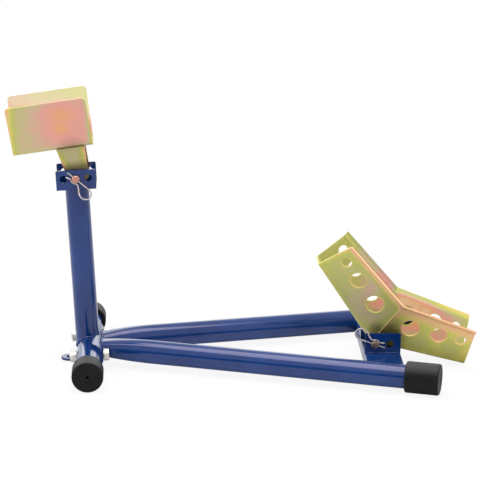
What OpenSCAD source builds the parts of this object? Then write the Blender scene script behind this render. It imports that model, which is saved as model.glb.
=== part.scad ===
// Paddock stand for a motorcycle's front wheel: a tube frame on rubber caps, a rocking V cradle
// and a tilting wheel stop on a post. X runs to the rear, Y to the left, Z up from the floor.

/* [Frame tubes] */
// Outside diameter of every frame tube
tube_d = 38; // [34:0.5:42]
// Wall of every frame tube
tube_wall = 2; // [1.5:0.5:3]
// Length of the front cross tube
cross_len = 323; // [300:1:360]
// Length of the post from the cross tube's axis to the underside of its head
post_len = 267; // [240:1:300]
// Lean of the post toward the front
post_lean = 4; // [2:0.5:6]
// Distance of the post's axis in front of the cross tube's axis
post_ahead = 1.7; // [0:0.1:3]
// Distance of a side tube's front end behind the cross tube's axis
side_front_x = 30; // [28:0.5:36]
// Distance of a side tube's front end from the middle plane
side_front_y = 22.5; // [22:0.5:26]
// Rise of a side tube's front end over its rear end
side_front_rise = 3; // [0:0.5:5]
// Distance of a rear cap's face behind the cross tube's axis
side_rear_x = 552; // [530:1:580]
// Distance of a rear cap's middle from the middle plane
side_rear_y = 168.5; // [155:0.5:185]
// Length of the flattened front end of a side tube
pinch_len = 42; // [30:1:60]
// Height of the flattened front end of a side tube
pinch_h = 17; // [12:0.5:24]

/* [Rubber caps] */
// Outside diameter of a cap, which sets the height of the frame
cap_d = 50; // [48:0.5:56]
// Length of a cap on the cross tube
front_cap_len = 39; // [30:0.5:60]
// Length of a cap on a side tube
rear_cap_len = 54.5; // [40:0.5:58]
// Thickness of a cap's closed end
cap_end = 5; // [4:0.5:8]
// Rounding of a cap's closed end
cap_round = 3; // [1:0.5:3.5]
// Diameter of the vent hole in a cap's end
cap_vent_d = 5; // [3:0.5:7]
// Radial gap between a cap and its tube
cap_gap = 0.1; // [0.05:0.05:0.3]

/* [Front joint] */
// Thickness of the half-round saddle behind the cross tube
saddle_t = 5; // [3:0.5:5.5]
// Length of the saddle along the cross tube
saddle_len = 134; // [132:1:160]
// How far the saddle's edges stay behind the cross tube's axis
saddle_edge = 4; // [0.5:0.5:6]
// Radial gap between the saddle and the cross tube
saddle_gap = 0.1; // [0.05:0.05:0.3]
// Distance of each joint bolt from the middle plane
bolt_y = 55; // [54.5:0.5:56]
// Diameter of a joint bolt
bolt_d = 10; // [8:1:10]
// Width across the flats of the bolt heads and nuts
hex_af = 17; // [15:0.5:17]
// Height of a bolt head
head_h = 6.4; // [5:0.1:7]
// Height of a nut
nut_h = 8; // [6:0.1:8.5]
// Outside diameter of a washer
washer_d = 20; // [18:0.5:21]
// Thickness of a washer
washer_t = 2; // [1:0.1:2.5]
// Length of thread beyond a nut
thread_out = 1.5; // [1.5:0.5:5]
// Radial gap of the bolts in their holes
bolt_gap = 0.3; // [0.2:0.05:0.5]
// Radial gap of the bolts in their nuts
thread_gap = 0.05; // [0.02:0.01:0.1]

/* [Floor lug] */
// Width of the floor lug
lug_w = 27; // [22:0.5:34]
// Thickness of the floor lug
lug_t = 4; // [3:0.5:5]
// Distance of the lug's hole in front of the cross tube's axis
lug_hole_x = 32; // [29:0.5:40]
// Diameter of the lug's hole
lug_hole_d = 9; // [7:0.5:12]
// Gap between the lug's rear end and the saddle
lug_gap = 0.5; // [0.3:0.1:2]

/* [Pins and clips] */
// Diameter of the two clevis pins
pin_d = 12; // [10:0.5:12]
// Radial gap of the pins in their holes
pin_gap = 0.08; // [0.03:0.01:0.1]
// Diameter of a pin's head
pin_head_d = 18; // [16:0.5:20]
// Thickness of a pin's head
pin_head_t = 4; // [3:0.5:5]
// Distance of the clip's wire from the bracket's face
clip_off = 1.2; // [0.6:0.1:2]
// Length of pin beyond the clip's wire
pin_tip = 3; // [2:0.5:5]
// Diameter of the clip's wire
wire_d = 2.5; // [2:0.1:2.8]
// Radial gap of the wire in the pin's cross hole
wire_gap = 0.2; // [0.1:0.05:0.3]
// Radius of the clip's loop
clip_loop_r = 9; // [8:0.1:10]
// Distance of the loop's middle from the pin
clip_loop_x = 27.5; // [25:0.5:30]
// Length of the clip's straight leg past the pin
clip_leg = 17; // [13:0.5:20]
// Radial gap between the clip's bent leg and the pin
clip_gap = 0.35; // [0.2:0.05:0.6]
// Distance along the clip, from the pin, where the bent leg turns in
clip_neck = 12; // [11:0.5:14]
// Distance along the clip, from the pin, of the bent leg's flared tip
clip_flare = 14; // [12:0.5:16]
// Turn of the wheel stop's clip about its pin
stop_clip_angle = -43; // [-180:1:180]
// Turn of the cradle's clip about its pin
cradle_clip_angle = 160; // [150:1:170]

/* [Post head] */
// Length of the post head's cheeks
head_len = 63; // [58:0.5:70]
// Height of the post head over the post
head_tall = 32; // [30:0.5:36]
// Sheet thickness of the post head
head_t = 3; // [2.5:0.5:4]
// Clear width between the post head's cheeks
head_gap = 47; // [46:0.5:50]
// Height of the holes over the post head's underside
head_hole_z = 18; // [17.5:0.5:19]
// Spacing of the three holes in a cheek
head_pitch = 19.5; // [18:0.5:21]
// Rounding of the cheeks' corners
cheek_round = 2.5; // [1:0.5:4]

/* [Wheel stop] */
// Tilt of the wheel stop from square with the post, front end down
stop_tilt = 5; // [2:0.5:8]
// Sheet thickness of the trough and its tang
stop_t = 3; // [2.5:0.5:3.5]
// Length of the trough
stop_len = 127; // [110:1:150]
// Outside width of the trough's floor
stop_web_w = 40; // [36:0.5:46]
// Height of the trough
stop_tall = 83; // [70:0.5:95]
// Splay of the trough's flanges
stop_splay = 18; // [12:0.5:22]
// Rounding of the flanges' free corners
stop_round = 6; // [4:0.5:14]
// Height of the trough's underside over the pin
stop_rise = 49.2; // [46:0.1:56]
// Reach of the trough behind the pin
stop_behind = 35.2; // [28:0.1:42]
// Reach of the tang's top edge in front of the pin
tang_front = 23.2; // [20:0.1:28]
// Reach of the tang behind the pin
tang_back = 21.5; // [18:0.1:22.5]
// Reach of the tang in front of the pin, level with the pin
tang_foot = 12.2; // [11.8:0.1:13]
// Gap between the tang's foot and the floor of the post head
tang_gap = 0.4; // [0.3:0.1:1]
// Reach of the tang's flat foot in front of the pin
tang_heel = 9.5; // [8:0.1:10.5]
// Side play of the tang between the cheeks, on each side
tang_play = 0.7; // [0.4:0.1:1.2]

/* [Rear member] */
// Length of the cross member along the stand
member_len = 58.5; // [58.5:0.5:66]
// Gap between the cross member and the rear caps
member_gap = 0.275; // [0.225:0.025:1]
// Height of the cross member's top over the floor
member_top = 27; // [25:0.5:28]
// Depth of the cross member's turned-down edges
member_deep = 18; // [12:0.5:20]
// Sheet thickness of the cross member and the cheeks on it
member_t = 3; // [2.5:0.5:4]
// Inset of the cheeks from the cross member's front edge
cheek_inset = 0.5; // [0:0.1:0.5]
// Length of a cradle cheek
cheek_len = 58; // [54:0.5:58]
// Height of a cradle cheek
cheek_tall = 33; // [31:0.5:36]
// Clear width between the cradle cheeks
cheek_gap = 74; // [74:0.5:80]
// Distance of the cradle pin behind the cheeks' front edge
cheek_hole_x = 16; // [14:0.5:18]
// Height of the cradle pin over the cross member
cheek_hole_z = 15; // [14.5:0.5:17]
// Spacing of the two holes in a cradle cheek
cheek_pitch = 24.5; // [22:0.5:28]

/* [Cradle] */
// Sheet thickness of the cradle
leg_t = 3; // [2.5:0.5:3.5]
// Length of each leg from the fold of the V
leg_len = 157.5; // [140:0.5:158]
// Angle between the two legs
leg_angle = 137.7; // [134:0.1:142]
// Slope of the rear leg down to the floor
leg_slope = 13.4; // [11:0.1:13.5]
// Outside width of a leg's floor
leg_web_w = 45; // [40:0.5:48]
// Splay of a leg's flanges
leg_splay = 18; // [15:0.5:20]
// Height of a flange's fold line at the fold of the V
leg_tall = 75; // [68:0.5:80]
// Height of a flange's fold line at the end of a leg
leg_tall_end = 55.5; // [54:0.5:64]
// Width of the outward lip along a flange
lip_w = 10; // [6:0.5:12]
// Turn of the lip away from its flange
lip_turn = 32; // [15:1:45]
// Diameter of the large hole in a flange, nearest the fold of the V
big_hole_d = 30; // [24:0.5:32]
// Diameter of the middle hole in a flange
mid_hole_d = 26.5; // [20:0.5:28]
// Diameter of the small hole in a flange
small_hole_d = 17; // [12:0.5:19]
// Distance of the large hole from the leg's end
big_hole_in = 103.5; // [99.5:0.5:105.5]
// Distance of the middle hole from the leg's end
mid_hole_in = 55.5; // [53.5:0.5:59.5]
// Distance of the small hole from the leg's end
small_hole_in = 19; // [17.5:0.5:21.5]
// Height of the holes up the flange
leg_hole_m = 43; // [40:0.5:44]
// Distance of the fold of the V in front of the pin
fold_x = 5.1; // [4:0.1:6]
// Distance of the fold of the V below the pin
fold_z = 2; // [1:0.1:3]
// Outside diameter of the pivot sleeve
sleeve_d = 20; // [18:0.5:22]
// Side play of the sleeve between the cheeks, on each side
sleeve_play = 0.5; // [0.3:0.1:1]

/* [Hidden] */
$fn = 64;
blue = "#26408a";
zinc = "#c3b257";
rubber = "#2b2b2d";
bright = "#c9c9c6";

// Gap left between faces that are welded together
weld_gap = 0.05;
// Run of a cutting shape past the face it opens
past = 1;
// Small bevel on turned ends, hexagons and outer bends
bevel = 1;
// Short overlap that joins the flattened end of a tube to its round part
lap = 0.1;
tube_r = tube_d / 2;
axis_z = cap_d / 2;
saddle_r = tube_r + saddle_gap + saddle_t;

// Side tube: axis from its front end to the face of its rear cap
side_dx = side_rear_x - side_front_x;
side_dy = side_rear_y - side_front_y;
side_len = norm([side_dx, side_dy, side_front_rise]);
side_yaw = atan2(side_dy, side_dx);
side_fall = asin(side_front_rise / side_len);
function side_y(x) = side_front_y + (x - side_front_x) * side_dy / side_dx;

// Wheel stop pin in the frame of the post
stop_pin_z = post_len + head_hole_z;
head_w = head_gap + 2 * head_t;
tang_w = head_gap - 2 * tang_play;
tang_deep = head_hole_z - head_t - tang_gap;

// Rear cross member: its lower edges reach this far inside the side tubes' axes, in front of the caps
member_dip = sqrt(max(0, pow(tube_r, 2) - pow(axis_z - member_top + member_deep, 2)));
member_end = side_rear_x - rear_cap_len * side_dx / side_len + member_dip * sin(side_yaw) - member_gap;
member_x = member_end - member_len;

// Cradle pin
cradle_pin_x = member_x + cheek_inset + cheek_hole_x;
cradle_pin_z = member_top + cheek_hole_z;
cheek_w = cheek_gap + 2 * member_t;
front_slope = 180 - leg_angle + leg_slope;
bend_y = (leg_web_w - leg_t) / 2;
leg_bevel = leg_t / 3;
leg_holes = [
    [leg_len - big_hole_in, big_hole_d],
    [leg_len - mid_hole_in, mid_hole_d],
    [leg_len - small_hole_in, small_hole_d]
];

// Clip's wire rides round the pin at this radius
clip_r = pin_d / 2 + wire_d / 2 + clip_gap;

// Middle of the whole stand along X, from the trough's front corner to the rear leg's end
stop_lean = post_lean + stop_tilt;
stop_front_x = -post_ahead - stop_pin_z * sin(post_lean)
    - (stop_len - stop_behind - stop_round) * cos(stop_lean)
    - (stop_rise + stop_tall - stop_round) * sin(stop_lean) - stop_round;
lip_top = leg_tall_end + lip_w * cos(leg_splay + lip_turn) + leg_t * sin(leg_splay + lip_turn);
leg_rear_x = cradle_pin_x - fold_x + leg_len * cos(leg_slope) + lip_top * sin(leg_slope);
mid_x = (stop_front_x + leg_rear_x) / 2;

module hole_y(d, len) {
    rotate([90, 0, 0])
        cylinder(d = d, h = len, center = true);
}

module hole_x(d, len) {
    rotate([0, 90, 0])
        cylinder(d = d, h = len, center = true);
}

// Flat outline with rounded corners, from [0, 0] to [len, tall]; low rounds the lower pair too
module plate_2d(len, tall, r, low = true) {
    difference() {
        square([len, tall]);
        for (x = [0, 1], z = low ? [0, 1] : [1])
            translate([x * len, z * tall])
                mirror([x, 0])
                    mirror([0, z])
                        difference() {
                            translate([-past, -past])
                                square(r + past);
                            translate([r, r])
                                circle(r);
                        }
    }
}

// Upright plate in the XZ plane with its middle on Y = 0
module plate_xz(t) {
    rotate([90, 0, 0])
        linear_extrude(t, center = true)
            children();
}

module hex_prism(h) {
    intersection() {
        cylinder(d = hex_af / cos(30), h = h, $fn = 6);
        cylinder(d1 = hex_af / cos(30) - bevel + 2 * h, d2 = hex_af / cos(30) - bevel, h = h);
    }
}

// Rings of points swept along a path in the XZ plane
function heading(p, i) =
    let (a = p[max(i - 1, 0)], b = p[min(i + 1, len(p) - 1)])
    atan2(b[1] - a[1], b[0] - a[0]);
function ring(p, i, r, n) = [
    for (k = [0 : n - 1])
        [
            p[i][0] - r * cos(360 * k / n) * sin(heading(p, i)),
            r * sin(360 * k / n),
            p[i][1] + r * cos(360 * k / n) * cos(heading(p, i))
        ]
];
module wire(p, d, n = 10) {
    last = len(p) - 1;
    polyhedron(
        points = [for (i = [0 : last]) each ring(p, i, d / 2, n)],
        faces = [
            [for (k = [0 : n - 1]) k],
            for (i = [0 : last - 1], k = [0 : n - 1])
                [i * n + k, (i + 1) * n + k, (i + 1) * n + (k + 1) % n, i * n + (k + 1) % n],
            [for (k = [n - 1 : -1 : 0]) last * n + k]
        ]
    );
}

// R-clip about a pin at the origin: straight leg, loop, bent leg round the pin, flared tip
clip_path = concat(
    [[-clip_leg, 0], [0, 0], [clip_loop_x, 0]],
    [for (a = [75 : -15 : -90]) [clip_loop_x + clip_loop_r * cos(a), clip_loop_r * (sin(a) - 1)]],
    [[(clip_loop_x + clip_neck) / 2, -clip_r - clip_loop_r], [clip_neck, -clip_r]],
    [for (a = [-40 : -20 : -140]) [clip_r * cos(a), clip_r * sin(a)]],
    [[-clip_flare, -clip_r]]
);

module clip(angle) {
    rotate([0, -angle, 0])
        wire(clip_path, wire_d);
}

// Clevis pin along Y: head on the left, tip on the right with a cross hole for the clip
module clevis_pin(w, angle) {
    wire_y = w / 2 + clip_off + wire_d / 2;
    tip_y = wire_y + wire_d / 2 + pin_tip;
    difference() {
        rotate([90, 0, 0]) {
            translate([0, 0, -w / 2 - pin_head_t])
                cylinder(d = pin_head_d, h = pin_head_t);
            translate([0, 0, -w / 2])
                cylinder(d = pin_d, h = w / 2 + tip_y - bevel);
            translate([0, 0, tip_y - bevel])
                cylinder(d1 = pin_d, d2 = pin_d - 2 * bevel, h = bevel);
        }
        translate([0, -wire_y, 0])
            rotate([0, -angle, 0])
                hole_x(wire_d + 2 * wire_gap, 2 * pin_d);
    }
}

module at_post() {
    translate([-post_ahead, 0, axis_z])
        rotate([0, -post_lean, 0])
            children();
}

module at_stop_pin() {
    at_post()
        translate([0, 0, stop_pin_z])
            children();
}

module at_stop() {
    at_stop_pin()
        rotate([0, -stop_tilt, 0])
            children();
}

module at_cradle_pin() {
    translate([cradle_pin_x, 0, cradle_pin_z])
        children();
}

// Frame of the left side tube, with Z along its axis to the rear
module at_side() {
    translate([side_front_x, side_front_y, axis_z + side_front_rise])
        rotate([0, 90 + side_fall, side_yaw])
            children();
}

module cross_tube() {
    color(blue)
        translate([0, 0, axis_z])
            difference() {
                hole_y(tube_d, cross_len);
                hole_y(tube_d - 2 * tube_wall, cross_len + 2 * past);
                for (s = [-1, 1])
                    translate([0, s * bolt_y, 0])
                        rotate([0, -post_lean, 0])
                            hole_x(bolt_d + 2 * bolt_gap, tube_d + 2 * past);
            }
}

module post_tube() {
    color(blue)
        difference() {
            at_post()
                difference() {
                    cylinder(d = tube_d, h = post_len);
                    translate([0, 0, -past])
                        cylinder(d = tube_d - 2 * tube_wall, h = post_len + 2 * past);
                }
            translate([0, 0, axis_z])
                hole_y(tube_d + 2 * weld_gap, 3 * tube_d);
        }
}

module post_head() {
    color(blue)
        at_post()
            translate([-head_len / 2, 0, post_len])
                difference() {
                    union() {
                        translate([0, -head_w / 2, 0])
                            cube([head_len, head_w, head_t]);
                        for (s = [-1, 1])
                            translate([0, s * (head_gap + head_t) / 2, 0])
                                plate_xz(head_t)
                                    plate_2d(head_len, head_tall, cheek_round, false);
                    }
                    for (i = [-1, 0, 1])
                        translate([head_len / 2 + i * head_pitch, 0, head_hole_z])
                            hole_y(pin_d + 2 * pin_gap, head_w + 2 * past);
                }
}

module floor_lug() {
    color(blue)
        translate([0, 0, axis_z - tube_r - lug_t])
            linear_extrude(lug_t)
                difference() {
                    union() {
                        translate([-lug_hole_x, 0])
                            circle(d = lug_w);
                        translate([-lug_hole_x, -lug_w / 2])
                            square([lug_hole_x + saddle_edge - lug_gap, lug_w]);
                    }
                    translate([-lug_hole_x, 0])
                        circle(d = lug_hole_d);
                }
}

module joint_saddle() {
    color(blue)
        translate([0, 0, axis_z])
            difference() {
                intersection() {
                    hole_y(2 * saddle_r, saddle_len);
                    translate([saddle_edge, -saddle_len, -saddle_r])
                        cube([saddle_r, 2 * saddle_len, 2 * saddle_r]);
                }
                hole_y(tube_d + 2 * saddle_gap, saddle_len + 2 * past);
                for (s = [-1, 1])
                    translate([0, s * bolt_y, 0])
                        rotate([0, -post_lean, 0])
                            translate([saddle_r, 0, 0])
                                hole_x(bolt_d + 2 * bolt_gap, 2 * saddle_r);
                translate([0, 0, -axis_z])
                    at_post()
                        cylinder(d = tube_d + 2 * saddle_gap, h = post_len);
            }
}

// Flattened end of a side tube, from its slot to the round tube
module pinch(wall) {
    back = pinch_len + side_front_x;
    hull() {
        translate([0, 0, pinch_len])
            cylinder(d = tube_d - 2 * wall, h = lap);
        for (s = [-1, 1])
            translate([0, s * (tube_d - pinch_h) / 2, pinch_len - back])
                cylinder(d = pinch_h - 2 * wall, h = lap);
    }
}

module side_tube() {
    difference() {
        at_side()
            difference() {
                union() {
                    translate([0, 0, pinch_len])
                        cylinder(d = tube_d, h = side_len - cap_end - cap_gap - pinch_len);
                    pinch(0);
                }
                translate([0, 0, pinch_len + lap / 2])
                    cylinder(d = tube_d - 2 * tube_wall, h = side_len);
                pinch(tube_wall);
            }
        translate([0, 0, axis_z])
            hole_y(2 * saddle_r + 2 * weld_gap, 2 * saddle_len);
    }
}

module side_tube_left() {
    color(blue)
        side_tube();
}

module side_tube_right() {
    color(blue)
        mirror([0, 1, 0])
            side_tube();
}

module rear_member() {
    color(blue)
        difference() {
            intersection() {
                translate([member_x, 0, member_top - member_deep])
                    rotate([90, 0, 0])
                        linear_extrude(2 * side_rear_y, center = true)
                            difference() {
                                plate_2d(member_len, member_deep, member_t / 2, false);
                                translate([member_t, -past])
                                    square([member_len - 2 * member_t, member_deep - member_t + past]);
                            }
                linear_extrude(cap_d)
                    polygon([
                        [member_x, -side_y(member_x)], [member_end, -side_y(member_end)],
                        [member_end, side_y(member_end)], [member_x, side_y(member_x)]
                    ]);
            }
            for (s = [0, 1])
                mirror([0, s, 0])
                    at_side()
                        cylinder(d = tube_d + 2 * weld_gap, h = side_len);
        }
}

module cradle_cheek() {
    translate([member_x + cheek_inset, (cheek_gap + member_t) / 2, member_top])
        plate_xz(member_t)
            difference() {
                plate_2d(cheek_len, cheek_tall, cheek_round, false);
                for (i = [0, 1])
                    translate([cheek_hole_x + i * cheek_pitch, cheek_hole_z])
                        circle(d = pin_d + 2 * pin_gap);
            }
}

module cradle_cheek_left() {
    color(blue)
        cradle_cheek();
}

module cradle_cheek_right() {
    color(blue)
        mirror([0, 1, 0])
            cradle_cheek();
}

// Rubber cap along Z: open end at 0, closed end at len
module cap(len) {
    bore_r = tube_r + cap_gap;
    color(rubber)
        rotate_extrude()
            difference() {
                square([cap_d / 2, len]);
                translate([-past, -past])
                    square([bore_r + past, len - cap_end + past]);
                translate([-past, -past])
                    square([cap_vent_d / 2 + past, len + 2 * past]);
                translate([cap_d / 2, len])
                    difference() {
                        translate([-cap_round, -cap_round])
                            square(cap_round + past);
                        translate([-cap_round, -cap_round])
                            circle(cap_round);
                    }
            }
}

module front_cap() {
    translate([0, cross_len / 2 + cap_gap + cap_end - front_cap_len, axis_z])
        rotate([-90, 0, 0])
            cap(front_cap_len);
}

module front_cap_left() {
    front_cap();
}

module front_cap_right() {
    mirror([0, 1, 0])
        front_cap();
}

module rear_cap() {
    at_side()
        translate([0, 0, side_len - rear_cap_len])
            cap(rear_cap_len);
}

module rear_cap_left() {
    rear_cap();
}

module rear_cap_right() {
    mirror([0, 1, 0])
        rear_cap();
}

// Each joint bolt's axis, square to the post, with Z to the rear and its middle in the cross tube
module at_bolts() {
    for (s = [-1, 1])
        translate([0, s * bolt_y, axis_z])
            rotate([0, 90 - post_lean, 0])
                children();
}

module joint_bolts() {
    rear = saddle_r + washer_t;
    tail = tube_r + washer_t + nut_h + thread_out;
    color(bright)
        at_bolts() {
            translate([0, 0, rear])
                hex_prism(head_h);
            translate([0, 0, bevel - tail])
                cylinder(d = bolt_d, h = tail - bevel + rear);
            translate([0, 0, -tail])
                cylinder(d1 = bolt_d - 2 * bevel, d2 = bolt_d, h = bevel);
        }
}

module joint_washers() {
    color(bright)
        at_bolts()
            for (z = [-tube_r - washer_t, saddle_r])
                translate([0, 0, z])
                    difference() {
                        cylinder(d = washer_d, h = washer_t);
                        translate([0, 0, -past])
                            cylinder(d = bolt_d + 2 * bolt_gap, h = washer_t + 2 * past);
                    }
}

module joint_nuts() {
    color(bright)
        at_bolts()
            translate([0, 0, -tube_r - washer_t])
                mirror([0, 0, 1])
                    difference() {
                        hex_prism(nut_h);
                        translate([0, 0, -past])
                            cylinder(d = bolt_d + 2 * thread_gap, h = nut_h + 2 * past);
                    }
}

module wheel_stop_trough() {
    foot = stop_web_w / 2;
    lip = foot + stop_tall * tan(stop_splay);
    wall = stop_t / cos(stop_splay);
    inner = foot - wall + stop_t * tan(stop_splay);
    color(zinc)
        at_stop()
            translate([stop_behind - stop_len, 0, stop_rise])
                intersection() {
                    rotate([90, 0, 90])
                        linear_extrude(stop_len)
                            polygon([
                                [-foot + bevel, 0], [foot - bevel, 0],
                                [foot + bevel * tan(stop_splay), bevel],
                                [lip, stop_tall], [lip - wall, stop_tall],
                                [inner, stop_t], [-inner, stop_t],
                                [-lip + wall, stop_tall], [-lip, stop_tall],
                                [-foot - bevel * tan(stop_splay), bevel]
                            ]);
                    plate_xz(4 * lip)
                        plate_2d(stop_len, stop_tall, stop_round, false);
                }
}

// Tang's outline about the pin: flat foot in front, round behind, with a flat for the tilted stop
module tang_2d() {
    turn = acos(tang_deep / tang_back);
    circle(tang_deep);
    polygon([
        [-tang_front, stop_rise], [-tang_foot, 0],
        [
            -tang_heel * cos(stop_tilt) - tang_deep * sin(stop_tilt),
            tang_heel * sin(stop_tilt) - tang_deep * cos(stop_tilt)
        ],
        [-tang_deep * sin(stop_tilt), -tang_deep * cos(stop_tilt)],
        [0, 0], [tang_deep * cos(turn), -tang_deep * sin(turn)],
        [tang_back, 0], [tang_back, stop_rise]
    ]);
}

module wheel_stop_tang() {
    color(zinc)
        at_stop()
            difference() {
                union() {
                    for (s = [-1, 1])
                        translate([0, s * (tang_w - stop_t) / 2, 0])
                            plate_xz(stop_t)
                                tang_2d();
                    translate([-tang_front, -tang_w / 2, stop_rise - stop_t])
                        cube([tang_front + tang_back, tang_w, stop_t]);
                }
                hole_y(pin_d + 2 * pin_gap, head_w);
            }
}

module wheel_stop_pin() {
    color(zinc)
        at_stop_pin()
            clevis_pin(head_w, stop_clip_angle);
}

module wheel_stop_clip() {
    color(bright)
        at_stop_pin()
            translate([0, -head_w / 2 - clip_off - wire_d / 2, 0])
                clip(stop_clip_angle);
}

// Left flange and lip in the flange's plane: X along the leg, Y up the flange, Z into the V
module flange() {
    up = leg_tall / cos(leg_splay);
    up_end = leg_tall_end / cos(leg_splay);
    fall = atan2(up_end - up, leg_len);
    lip_y = lip_w * cos(lip_turn);
    lip_z = -lip_w * sin(lip_turn);
    difference() {
        translate([0, up, 0])
            rotate([90, 0, 90 + fall])
                translate([0, 0, -leg_len / 2])
                    linear_extrude(2 * leg_len)
                        polygon([
                            [-2 * up, 0], [0, 0], [lip_y, lip_z],
                            [lip_y + leg_t * sin(lip_turn), lip_z + leg_t * cos(lip_turn)],
                            [leg_t * tan(lip_turn / 2), leg_t], [-2 * up, leg_t]
                        ]);
        for (hole = leg_holes)
            translate([hole[0], leg_hole_m, 0])
                cylinder(d = hole[1], h = 4 * leg_t, center = true);
    }
}

// Leg of the V: X along the leg from the fold, Z into the V, underside on Z = 0
module leg() {
    difference() {
        intersection() {
            union() {
                translate([0, -bend_y, 0])
                    cube([leg_len, 2 * bend_y, leg_t]);
                for (s = [0, 1])
                    mirror([0, s, 0])
                        translate([0, leg_web_w / 2, 0])
                            rotate([90 - leg_splay, 0, 0])
                                flange();
            }
            translate([0, -2 * leg_tall, 0])
                cube([leg_len, 4 * leg_tall, 2 * leg_tall]);
        }
        rotate([0, 90 - leg_angle / 2, 0])
            translate([-4 * leg_tall, -2 * leg_tall, -leg_tall])
                cube([4 * leg_tall, 4 * leg_tall, 4 * leg_tall]);
        for (s = [0, 1])
            mirror([0, s, 0])
                translate([-past, leg_web_w / 2 - leg_bevel, 0])
                    rotate([-45 - leg_splay / 2, 0, 0])
                        translate([0, -leg_t, -leg_t])
                            cube([leg_len + 2 * past, 2 * leg_t, leg_t]);
    }
}

module sleeve_room() {
    at_cradle_pin()
        hole_y(sleeve_d + 2 * weld_gap, cheek_gap);
}

module at_fold() {
    translate([cradle_pin_x - fold_x, 0, cradle_pin_z - fold_z])
        children();
}

module cradle_front_leg() {
    color(zinc)
        difference() {
            at_fold()
                mirror([1, 0, 0])
                    rotate([0, -front_slope, 0])
                        leg();
            sleeve_room();
        }
}

module cradle_rear_leg() {
    color(zinc)
        difference() {
            at_fold()
                rotate([0, leg_slope, 0])
                    leg();
            sleeve_room();
        }
}

module cradle_sleeve() {
    color(zinc)
        at_cradle_pin()
            difference() {
                hole_y(sleeve_d, cheek_gap - 2 * sleeve_play);
                hole_y(pin_d + 2 * pin_gap, cheek_gap);
            }
}

module cradle_pin() {
    color(zinc)
        at_cradle_pin()
            clevis_pin(cheek_w, cradle_clip_angle);
}

module cradle_clip() {
    color(bright)
        at_cradle_pin()
            translate([0, -cheek_w / 2 - clip_off - wire_d / 2, 0])
                clip(cradle_clip_angle);
}

module placed() {
    translate([-mid_x, 0, 0])
        children();
}

placed() cross_tube();
placed() post_tube();
placed() post_head();
placed() floor_lug();
placed() joint_saddle();
placed() side_tube_left();
placed() side_tube_right();
placed() rear_member();
placed() cradle_cheek_left();
placed() cradle_cheek_right();
placed() front_cap_left();
placed() front_cap_right();
placed() rear_cap_left();
placed() rear_cap_right();
placed() joint_bolts();
placed() joint_washers();
placed() joint_nuts();
placed() wheel_stop_trough();
placed() wheel_stop_tang();
placed() wheel_stop_pin();
placed() wheel_stop_clip();
placed() cradle_front_leg();
placed() cradle_rear_leg();
placed() cradle_sleeve();
placed() cradle_pin();
placed() cradle_clip();
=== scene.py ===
import math
import bmesh
import bpy
from mathutils import Matrix, Vector


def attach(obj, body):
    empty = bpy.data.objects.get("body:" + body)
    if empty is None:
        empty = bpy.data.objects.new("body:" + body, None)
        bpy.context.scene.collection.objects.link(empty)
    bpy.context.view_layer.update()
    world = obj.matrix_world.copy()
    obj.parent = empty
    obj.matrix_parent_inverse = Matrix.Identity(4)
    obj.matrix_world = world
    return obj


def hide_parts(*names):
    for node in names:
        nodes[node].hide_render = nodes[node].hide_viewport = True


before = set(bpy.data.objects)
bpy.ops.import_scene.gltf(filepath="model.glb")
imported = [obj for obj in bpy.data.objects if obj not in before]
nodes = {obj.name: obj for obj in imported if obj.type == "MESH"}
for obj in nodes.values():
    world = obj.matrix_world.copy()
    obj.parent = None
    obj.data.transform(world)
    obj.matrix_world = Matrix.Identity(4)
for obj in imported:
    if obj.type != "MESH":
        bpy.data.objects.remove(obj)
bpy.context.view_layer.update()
scene = bpy.context.scene
mm = 0.001
frontX = -245.465  # cross tube's axis along X, in mm, from the middle of the stand
axisZ = 25.0  # the same axis over the floor
print("frame loaded:", len(nodes), "nodes")


def place(x, y, z):
    # from mm, counted from the floor under the cross tube's axis
    return Vector(((x + frontX) * mm, y * mm, z * mm))


def unplace(p):
    return p.x / mm - frontX, p.y / mm, p.z / mm


def fullTurn(count):
    return [2 * math.pi * i / count for i in range(count)]


def pieceName(node):
    # post_head becomes postHead
    first, *rest = node.split("_")
    return first + "".join(word.title() for word in rest)


# meshes and objects

def linkObject(name, data):
    obj = bpy.data.objects.new(name, data)
    scene.collection.objects.link(obj)
    return obj


def joinFlat(bm, degrees):
    bmesh.ops.dissolve_limit(bm, angle_limit=math.radians(degrees), verts=bm.verts, edges=bm.edges)


def settleMesh(bm, mesh, sharpAngle=32):
    bm.to_mesh(mesh)
    bm.free()
    mesh.shade_smooth()
    mesh.set_sharp_from_angle(angle=math.radians(sharpAngle))


def linkMesh(name, verts, faces, sharpAngle=32):
    mesh = bpy.data.meshes.new(name)
    mesh.from_pydata([tuple(v) for v in verts], [], faces)
    mesh.validate()
    bm = bmesh.new()
    bm.from_mesh(mesh)
    bmesh.ops.remove_doubles(bm, verts=bm.verts, dist=1e-6)
    bmesh.ops.recalc_face_normals(bm, faces=bm.faces)
    settleMesh(bm, mesh, sharpAngle)
    return linkObject(name, mesh)


def roundEdges(obj, width, angle=38):
    bevel = obj.modifiers.new("softEdge", "BEVEL")
    bevel.width = width * mm
    bevel.segments = 2
    bevel.limit_method = "ANGLE"
    bevel.angle_limit = math.radians(angle)
    bevel.harden_normals = True
    return obj


def tidyCopy(node, width):
    # welded copy of a CAD node with flat faces joined, so its edges can be rounded
    name = pieceName(node)
    bm = bmesh.new()
    bm.from_mesh(nodes[node].data)
    bmesh.ops.remove_doubles(bm, verts=bm.verts, dist=2e-6)
    bmesh.ops.dissolve_degenerate(bm, edges=bm.edges, dist=1e-6)
    joinFlat(bm, 0.4)
    bmesh.ops.recalc_face_normals(bm, faces=bm.faces)
    mesh = bpy.data.meshes.new(name)
    settleMesh(bm, mesh)
    return roundEdges(linkObject(name, mesh), width)


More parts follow.
